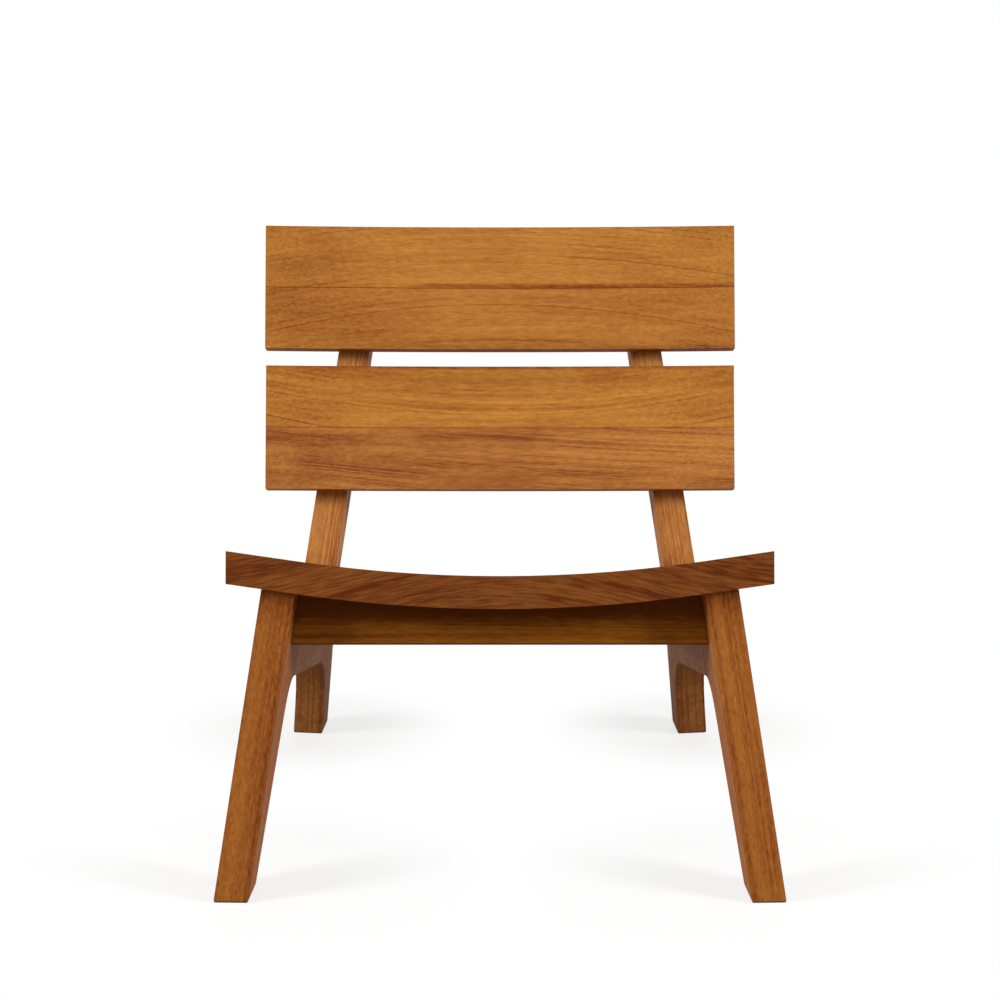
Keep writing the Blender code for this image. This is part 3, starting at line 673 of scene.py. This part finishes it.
class CHAIR_OT_rear_legs(bpy.types.Operator):
    """Finish the two rear legs with their back posts"""

    bl_idname = "chair.rear_legs"
    bl_label = "Rear Legs and Posts"

    def execute(self, context):
        shape_settings = context.scene.chair_shape
        colour = context.scene.chair_wood.post
        for end, side in SIDES.items():
            shape = node_shape(f"rear_leg_{end}")
            for point, normal in rail_joint_planes(end):
                close_joint(shape, point, normal)
            for arc in (REAR_ARCH, KNEE):
                round_arc(shape, *arc_place(side, arc), shape_settings.arch_cuts)
            for spot in range(1, SLAT_SCREWS + 1):
                place, _, _ = node_place(f"slat_plug_{end}_{spot}", from_behind())
                round_arc(shape, place, BORE_RADIUS, shape_settings.bore_cuts)
            ease_foot(shape, side, shape_settings.foot_rounding)
            grain = in_plane_grain(side, math.pi / 2 - POST_RAKE)
            # A dark ring by the inner face, and the leg below the post darker: painted shade under the
            # seat
            material = wood(
                f"{end} post wood", colour, grain, seed=31.0 + side, ring=(0.0, 4.0, 0.0), shade=0.42,
                drift=0.5, band=0.9, line=0.6, fleck=1.0,
                marks=[(-side * 0.0640, 0.032, 0.35, -0.1, 0.9)], dark_bands=[(0.0, 2.0, 0.55, -0.3, 0.36)])
            finish_piece(f"{end}_rear_leg", shape, material, f"rear_leg_{end}")
        return {"FINISHED"}


class CHAIR_OT_cross_rails(bpy.types.Operator):
    """Finish the cross rails under the front and the back of the seat"""

    bl_idname = "chair.cross_rails"
    bl_label = "Cross Rails"

    def execute(self, context):
        colour = context.scene.chair_wood.stretcher
        for index, row in enumerate(("front", "rear")):
            shape = node_shape(f"{row}_stretcher")
            for spot in range(1, SEAT_SCREWS + 1):
                place, _, _ = node_place(f"seat_screw_{row}_{spot}", from_below())
                round_arc(shape, place, BORE_RADIUS, context.scene.chair_shape.bore_cuts)
            # A dark band along the top: painted shade under the seat
            material = wood(
                f"{row} cross rail wood", colour, seat_grain(), seed=41.0 + index, ring=(0.9, 0.4, 0.01),
                line=0.5, late_wood=(0.52, 0.45, 0.33), dark_bands=[(-0.0375, 0.022, 1.20, -0.5, 0.5)])
            finish_piece(f"{row}_cross_rail", shape, material, f"{row}_stretcher")
        return {"FINISHED"}


# Dark rings in the front seat board, the last two darkening it towards its ends: level, half width,
# depth, and from where to where they run
SEAT_MARKS = (
    (-0.0590, 0.0050, 0.85, -0.24, -0.08), (-0.0610, 0.0050, 0.85, 0.08, 0.24),
    (-0.0890, 0.0040, 0.65, -0.14, -0.02), (-0.0890, 0.0040, 0.65, 0.01, 0.13),
    (-0.0120, 0.0250, 0.36, -0.45, -0.18), (-0.0120, 0.0250, 0.25, 0.18, 0.45))


class CHAIR_OT_seat(bpy.types.Operator):
    """Finish the boards of the dished seat"""

    bl_idname = "chair.seat"
    bl_label = "Seat Boards"

    def execute(self, context):
        colour = context.scene.chair_wood.seat
        seat = seat_grain()
        run = -seat.to_3x3().col[2]
        for board in range(1, SEAT_BOARDS + 1):
            node = f"seat_board_{board}"
            shape = node_shape(node)
            for seam in range(1, SEAT_BOARDS):
                close_joint(shape, SEAT_FRONT + run * (seam * SEAT_DEPTH / SEAT_BOARDS), run)
            material = wood(
                f"seat board {board} wood", colour, seat, seed=50.0 + board, ring=(1.0, 0.5, 0.0),
                shade=0.585, streak=0.8, streak_run=7.0, line=0.5, fleck=1.5, fleck_run=36.0,
                fleck_rise=430.0, edge_bow=0.07, late_wood=(0.60, 0.49, 0.46),
                marks=SEAT_MARKS if board == 1 else ())
            finish_piece(f"seat_plank_{board}", shape, material, node)
        return {"FINISHED"}


# Figure of each slat board: rings, shade, strength of lines and streaks, single dark rings and bands
SLAT_FIGURES = {
    ("upper", "top"): dict(
        ring=(1.0, 2.0, 0.0), shade=0.42,
        marks=[(0.4306, 0.0014, 0.60, 0.04, 0.34)],
        dark_bands=[(0.3890, 0.0060, 0.75, -0.14, 0.36), (0.4300, 0.0700, 0.34, -0.50, -0.18),
               (0.4400, 0.0700, -0.30, 0.00, 0.27)]),
    ("upper", "bottom"): dict(
        ring=(1.0, 2.7, 0.0), shade=0.50, line=0.2,
        marks=[(0.3635, 0.0014, 0.62, -0.36, 0.36), (0.3166, 0.0040, 0.35, -0.14, 0.14)],
        dark_bands=[(0.3066, 0.0060, 0.30, -0.20, 0.36), (0.3500, 0.0600, 0.22, -0.50, -0.06)]),
    ("lower", "top"): dict(
        ring=(1.0, -2.3, 0.0), shade=0.37,
        marks=[(0.1830, 0.0014, 0.50, -0.36, 0.36)],
        dark_bands=[(0.2826, 0.0070, 0.60, -0.36, 0.36), (0.2000, 0.0020, 0.20, -0.36, 0.10),
               (0.2700, 0.0300, 0.34, 0.08, 0.50), (0.2700, 0.0250, 0.16, -0.50, 0.08),
               (0.2150, 0.0250, -0.22, -0.24, 0.06)]),
    ("lower", "bottom"): dict(
        ring=(1.0, -0.4, 0.08), shade=0.66, line=0.65, streak=1.2, late_wood=(0.58, 0.47, 0.52),
        dark_bands=[(0.1850, 0.0170, 0.45, -0.45, -0.13), (0.1870, 0.0080, 0.45, -0.15, 0.09),
               (0.1300, 0.0200, 0.35, -0.45, -0.19), (0.1280, 0.0150, 0.35, -0.12, 0.08),
               (0.1600, 0.0500, 0.20, -0.30, -0.03), (0.1750, 0.0450, -0.22, 0.02, 0.40)]),
}
# Tint of each slat board, as shares of its slat's red, green and blue
SLAT_TINTS = {
    ("upper", "top"): (1.0, 1.0, 1.0), ("upper", "bottom"): (1.0, 0.98, 1.0),
    ("lower", "top"): (1.0, 1.01, 0.96), ("lower", "bottom"): (1.0, 1.0, 1.16)}
# Dark glue lines of the slats: half width, depth and run
GLUE_LINES = {"upper": (0.0011, 1.00, -0.5, 0.5), "lower": (0.0011, 0.60, -0.5, 0.5)}


class CHAIR_OT_back_slats(bpy.types.Operator):
    """Finish the boards of the two curved back slats"""

    bl_idname = "chair.back_slats"
    bl_label = "Back Slats"

    def execute(self, context):
        woods = context.scene.chair_wood
        grain = slat_grain()
        up = grain.to_3x3().col[1]
        for index, ((slat, row), figure) in enumerate(SLAT_FIGURES.items()):
            node = f"{slat}_slat_{row}_board"
            shape = node_shape(node)
            close_joint(shape, BACK_FOOT + up * SLAT_SEAMS[slat], up)
            colour = woods.upper_slat if slat == "upper" else woods.lower_slat
            colour = tinted(colour, SLAT_TINTS[slat, row])[:3]
            dark_bands = [(SLAT_SEAMS[slat], *GLUE_LINES[slat]), *figure["dark_bands"]]
            material = wood(
                f"{slat} slat {row} wood", colour, grain, seed=61.0 + index, crowd=8.0,
                **{**figure, "dark_bands": dark_bands})
            finish_piece(f"{slat}_slat_{row}_plank", shape, material, node)
        return {"FINISHED"}


# Hidden joinery

def from_behind():
    """Z back through the slats."""
    return Matrix.Rotation(-math.pi / 2 - BACK_TILT, 4, "X")


def from_below():
    """Z down, square to the seat."""
    return Matrix.Rotation(math.pi - SEAT_TILT, 4, "X")


def tongue_shape(node, rounding):
    """A loose tongue with its long edges rounded, and the direction in which they run."""
    shape = node_shape(node)
    # Every tongue is longest along its grain
    longest = max(edge.calc_length() for edge in shape.edges)
    edges = [edge for edge in shape.edges if edge.calc_length() > LONG_EDGE * longest]
    run = (edges[0].verts[1].co - edges[0].verts[0].co).normalized()
    bmesh.ops.bevel(
        shape, geom=edges, offset=rounding, offset_type="OFFSET", segments=TONGUE_SEGMENTS, profile=0.5,
        affect="EDGES", clamp_overlap=True, material=-1)
    return shape, run


class CHAIR_OT_tongues(bpy.types.Operator):
    """Finish the loose tongues in the frames' joints"""

    bl_idname = "chair.tongues"
    bl_label = "Loose Tongues"

    def execute(self, context):
        rounding = context.scene.chair_shape.tongue_rounding
        colour = context.scene.chair_wood.tongue
        for end, side in SIDES.items():
            for row in ("front", "rear"):
                for kind, words in (("rail", "side_rail"), ("stretcher", "cross_rail")):
                    node = f"{row}_{kind}_tenon_{end}"
                    shape, run = tongue_shape(node, rounding)
                    across = frame_plane(side).to_3x3().col[2]
                    across = (across - run * across.dot(run)).normalized()
                    grain = axes(next(iter(shape.verts)).co, run, across.cross(run), across)
                    material = wood(
                        f"{words} tongue wood {row} {end}", colour, grain, seed=71.0 + side, shade=0.4)
                    finish_piece(f"{end}_{row}_{words}_tongue", shape, material, node)
        return {"FINISHED"}


# Half section of a screw's head: radius and height
HEAD_PROFILE = (
    (0.0032, 0.0), (0.0040, -0.0004), (0.0045, -0.0012), (0.0045, -0.0024), (0.0040, -0.0030))
HEAD_HEIGHT = 0.0030
NECK_HEIGHT = 0.0004
CORE_RADIUS = 0.0016
CREST_RADIUS = 0.00225
POINT_LENGTH = 0.006
BARE_POINT = 0.003  # end of the point that has no thread
BARE_SHANK = 0.45  # share of the shank that has no thread
THREAD_ROOT = 0.9  # where the thread starts inside the core, as a share of its radius
THREAD_HALF_WIDTH = 0.00035
RECESS_TAPER = 0.75  # size of the recess at its bottom
SCREW_STEPS = 24
THREAD_STEPS = 16


def screw_blank(length):
    """A screw's head, shank and point, from the origin down."""
    profile = (
        *HEAD_PROFILE, (CORE_RADIUS, -HEAD_HEIGHT - NECK_HEIGHT), (CORE_RADIUS, -length + POINT_LENGTH),
        (0.0, -length))
    shape = bmesh.new()
    points = [shape.verts.new((radius, 0.0, height)) for radius, height in profile]
    for point, following in zip(points, points[1:]):
        shape.edges.new((point, following))
    bmesh.ops.spin(
        shape, geom=[*shape.verts, *shape.edges], cent=(0.0, 0.0, 0.0), axis=(0.0, 0.0, 1.0),
        angle=2 * math.pi, steps=SCREW_STEPS, use_merge=True)
    bmesh.ops.remove_doubles(shape, verts=shape.verts, dist=MERGE_DISTANCE)
    rim = [edge for edge in shape.edges if edge.is_boundary]
    bmesh.ops.contextual_create(shape, geom=rim)
    return shape


def sink_recess(shape, settings):
    """Sinks a tapered cross into the flat top of a screw's head."""
    half = settings.recess_width / 2
    reach = settings.recess_length / 2
    for axis in ((1.0, 0.0, 0.0), (0.0, 1.0, 0.0)):
        for off in (-reach, -half, half, reach):
            flat = [face for face in shape.faces if face.calc_center_median().z > -MERGE_DISTANCE]
            # The keys of a dictionary name each corner and edge once, in a fixed order
            parts = dict.fromkeys(part for face in flat for part in (*face.verts, *face.edges, face))
            bmesh.ops.bisect_plane(shape, geom=list(parts), plane_co=Vector(axis) * off, plane_no=axis)
    cross = []
    for face in shape.faces:
        middle = face.calc_center_median()
        inside = max(abs(middle.x), abs(middle.y)) < reach
        if middle.z > -MERGE_DISTANCE and inside and min(abs(middle.x), abs(middle.y)) < half:
            cross.append(face)
    sunk = bmesh.ops.extrude_face_region(shape, geom=cross)
    sunk_verts = [vert for vert in sunk["geom"] if isinstance(vert, bmesh.types.BMVert)]
    bmesh.ops.translate(shape, verts=sunk_verts, vec=(0.0, 0.0, -settings.recess_depth))
    bmesh.ops.scale(shape, verts=sunk_verts, vec=(RECESS_TAPER, RECESS_TAPER, 1.0))
    bmesh.ops.delete(shape, geom=cross, context="FACES")


def wind_thread(shape, length, pitch):
    """Winds a thread round the lower part of a screw's shank, narrower along the point."""
    start = -HEAD_HEIGHT - BARE_SHANK * (length - HEAD_HEIGHT)
    turns = int((start + length - BARE_POINT) / pitch)
    root = CORE_RADIUS * THREAD_ROOT
    wedge = [shape.verts.new(corner) for corner in (
        (root, 0.0, start + THREAD_HALF_WIDTH), (CREST_RADIUS, 0.0, start),
        (root, 0.0, start - THREAD_HALF_WIDTH))]
    sides = [shape.edges.new((wedge[index], wedge[index - 1])) for index in range(len(wedge))]
    thread = bmesh.ops.spin(
        shape, geom=[*wedge, *sides], cent=(0.0, 0.0, 0.0), axis=(0.0, 0.0, 1.0),
        dvec=(0.0, 0.0, -pitch / THREAD_STEPS), angle=2 * math.pi * turns, steps=THREAD_STEPS * turns)
    last = [vert for vert in thread["geom_last"] if isinstance(vert, bmesh.types.BMVert)]
    shape.faces.new(wedge)
    shape.faces.new(last)
    for vert in shape.verts:
        if vert.co.z < -length + POINT_LENGTH and vert.co.xy.length > CORE_RADIUS:
            vert.co.xy *= (vert.co.z + length) / POINT_LENGTH


def screw_shape(place, low, high, settings):
    """A wood screw between two heights of a place, its head at the top."""
    shape = screw_blank(high - low)
    sink_recess(shape, settings)
    wind_thread(shape, high - low, settings.thread_pitch)
    bmesh.ops.recalc_face_normals(shape, faces=shape.faces)
    bmesh.ops.transform(shape, verts=shape.verts, matrix=place @ Matrix.Translation((0.0, 0.0, high)))
    return shape


class CHAIR_OT_screws(bpy.types.Operator):
    """Make the wood screws that hold the slats and the seat"""

    bl_idname = "chair.screws"
    bl_label = "Wood Screws"

    def execute(self, context):
        settings = context.scene.chair_shape
        steel = zinc_steel("zinc plated screw steel")
        screws = [(f"slat_screw_{end}_{spot}", f"{end}_slat_wood_screw_{spot}", from_behind())
                  for end in SIDES for spot in range(1, SLAT_SCREWS + 1)]
        screws += [(f"seat_screw_{row}_{spot}", f"{row}_seat_wood_screw_{spot}", from_below())
                   for row in ("front", "rear") for spot in range(1, SEAT_SCREWS + 1)]
        for node, name, turn in screws:
            shape = screw_shape(*node_place(node, turn), settings)
            finish_piece(name, shape, steel, node)
        return {"FINISHED"}


class CHAIR_OT_plugs(bpy.types.Operator):
    """Finish the wooden plugs over the slat screws"""

    bl_idname = "chair.plugs"
    bl_label = "Plugs"

    def execute(self, context):
        cuts = context.scene.chair_shape.bore_cuts
        colour = context.scene.chair_wood.plug
        for end, side in SIDES.items():
            for spot in range(1, SLAT_SCREWS + 1):
                node = f"slat_plug_{end}_{spot}"
                shape = node_shape(node)
                place, _, _ = node_place(node, from_behind())
                round_arc(shape, place, PLUG_RADIUS, cuts)
                grain = in_plane_grain(side, math.pi / 2 - BACK_TILT)
                material = wood(f"{end} plug wood {spot}", colour, grain, seed=81.0 + spot + 7 * side)
                finish_piece(f"{end}_post_plug_{spot}", shape, material, node)
        return {"FINISHED"}


# Studio

WHITE = (1.0, 1.0, 1.0, 1.0)
FLOOR_BOUNCE = (0.42, 0.42, 0.42, 1.0)  # the floor's colour to the light that it throws back
SHADOW_RANGE = (0.34, 0.10)  # distances from a foot at which its shadow ends, and is full
REAR_SHADOW = 1.5  # how many times nearer the rear feet's shadows end
SENSOR_WIDTH = 36.0
VIEW_END = 100.0

# Degrees right of straight ahead and over the floor, distance, side, and the setting of the power
SOFTBOXES = {
    "left softbox": (-66.0, 22.0, 3.6, 0.9, "side_power"),
    "right softbox": (66.0, 22.0, 3.6, 0.9, "side_power"),
    "front softbox": (0.0, 22.0, 4.6, 2.2, "front_power"),
    "back softbox": (180.0, 18.0, 3.5, 2.4, "back_power"),
    "top softbox": (0.0, 85.0, 2.3, 2.4, "top_power"),
}


def softbox(name, azimuth, elevation, distance, size, power):
    """A square light aimed at the chair's middle."""
    light = bpy.data.lights.new(name, "AREA")
    light.shape = "SQUARE"
    light.size = size
    light.energy = power
    lamp = bpy.data.objects.new(name, light)
    bpy.context.scene.collection.objects.link(lamp)
    rise = Matrix.Rotation(math.radians(-elevation), 4, "X")
    towards = Matrix.Rotation(math.radians(azimuth), 4, "Z") @ rise @ Vector((0.0, -1.0, 0.0))
    lamp.location = Vector((0.0, 0.0, CAD_BOX[1][2] / 2)) + towards * distance
    lamp.rotation_euler = (-towards).to_track_quat("-Z", "Y").to_euler()


def seen_directly(graph):
    """One for rays from the camera, and for those mirrored or let through by a surface."""
    path = graph.node("ShaderNodeLightPath", {}, {}, "Is Camera Ray")
    seen = path + path.output("Is Glossy Ray") + path.output("Is Transmission Ray")
    return seen.math("MINIMUM", seen, 1.0)


def white_floor(settings):
    """A floor that looks white, with the chair's shadow near its feet."""
    shape = bmesh.new()
    bmesh.ops.create_grid(shape, x_segments=1, y_segments=1, size=settings.floor_size / 2)
    mesh = bpy.data.meshes.new("studio_floor")
    shape.to_mesh(mesh)
    shape.free()
    floor = bpy.data.objects.new("studio_floor", mesh)
    bpy.context.scene.collection.objects.link(floor)
    paint = bpy.data.materials.new("white floor paint")
    graph = Graph(paint)
    place = graph.node("ShaderNodeTexCoord", {}, {}, "Object")
    nearest = None
    for mount in frame["record"]["mounts"]:
        reach = graph.node("ShaderNodeVectorMath", {"operation": "DISTANCE"}, {
            0: place, 1: mount["pos_m"]}, "Value")
        reach = reach * (REAR_SHADOW if mount["pos_m"][1] > 0 else 1.0)
        nearest = reach.math("MINIMUM", reach, nearest) if nearest else reach
    white = graph.node("ShaderNodeEmission", {}, {"Color": WHITE, "Strength": 1.0})
    matt = graph.node("ShaderNodeBsdfDiffuse", {}, {"Color": WHITE})
    pale = graph.node("ShaderNodeBsdfDiffuse", {}, {"Color": FLOOR_BOUNCE})
    lit_share = settings.shadow * graph.ease(nearest, *SHADOW_RANGE)
    backdrop = graph.node("ShaderNodeMixShader", {}, {0: lit_share, 1: white, 2: matt})
    shader = graph.node("ShaderNodeMixShader", {}, {0: seen_directly(graph), 1: pale, 2: backdrop})
    graph.node("ShaderNodeOutputMaterial", {}, {"Surface": shader})
    mesh.materials.append(paint)


def white_surroundings(fill):
    """A world that looks white and lights the chair with a low fill."""
    world = bpy.data.worlds.new("white studio")
    bpy.context.scene.world = world
    graph = Graph(world)
    seen = seen_directly(graph)
    strength = seen + (1 - seen) * fill
    sky = graph.node("ShaderNodeBackground", {}, {"Color": WHITE, "Strength": strength})
    graph.node("ShaderNodeOutputWorld", {}, {"Surface": sky})


def front_camera(settings):
    """A camera straight ahead of the chair that looks a little down on it."""
    camera = bpy.data.objects.new("camera", bpy.data.cameras.new("camera"))
    bpy.context.scene.collection.objects.link(camera)
    camera.location = (0.0, -settings.camera_distance, settings.camera_height)
    camera.rotation_euler = (math.pi / 2 - settings.camera_pitch, 0.0, 0.0)
    camera.data.lens = settings.focal_length
    camera.data.sensor_width = SENSOR_WIDTH
    camera.data.clip_end = VIEW_END
    bpy.context.scene.camera = camera


class CHAIR_OT_studio(bpy.types.Operator):
    """Set up the white floor, the soft lights and the camera"""

    bl_idname = "chair.studio"
    bl_label = "Studio"

    def execute(self, context):
        settings = context.scene.chair_studio
        white_floor(settings)
        white_surroundings(settings.fill)
        for name, (azimuth, elevation, distance, size, power) in SOFTBOXES.items():
            softbox(name, azimuth, elevation, distance, size, getattr(settings, power))
        front_camera(settings)
        context.scene.view_settings.view_transform = "Standard"
        return {"FINISHED"}


# Add-on

OPERATORS = (
    CHAIR_OT_front_legs, CHAIR_OT_side_rails, CHAIR_OT_rear_legs, CHAIR_OT_cross_rails, CHAIR_OT_seat,
    CHAIR_OT_back_slats, CHAIR_OT_tongues, CHAIR_OT_screws, CHAIR_OT_plugs, CHAIR_OT_studio)
SETTINGS = {
    "chair_shape": ChairShapeSettings,
    "chair_wood": ChairWoodSettings,
    "chair_studio": ChairStudioSettings,
}


class CHAIR_PT_panel(bpy.types.Panel):
    """The chair's steps and settings"""

    bl_idname = "CHAIR_PT_panel"
    bl_label = "Lounge Chair"
    bl_space_type = "VIEW_3D"
    bl_region_type = "UI"
    bl_category = "Lounge Chair"

    def draw(self, context):
        for operator in OPERATORS:
            self.layout.operator(operator.bl_idname)
        for name, settings in SETTINGS.items():
            box = self.layout.box()
            for key in settings.__annotations__:
                box.prop(getattr(context.scene, name), key)


def register():
    for made in (*SETTINGS.values(), *OPERATORS, CHAIR_PT_panel):
        bpy.utils.register_class(made)
    for name, settings in SETTINGS.items():
        setattr(bpy.types.Scene, name, bpy.props.PointerProperty(type=settings))


def unregister():
    for name in SETTINGS:
        delattr(bpy.types.Scene, name)
    for made in (CHAIR_PT_panel, *reversed(OPERATORS), *SETTINGS.values()):
        bpy.utils.unregister_class(made)


def main():
    register()
    bpy.ops.chair.front_legs()
    bpy.ops.chair.side_rails()
    bpy.ops.chair.rear_legs()
    bpy.ops.chair.cross_rails()
    bpy.ops.chair.seat()
    bpy.ops.chair.back_slats()
    bpy.ops.chair.tongues()
    bpy.ops.chair.screws()
    bpy.ops.chair.plugs()
    bpy.ops.chair.studio()


if __name__ == "__main__":
    main()
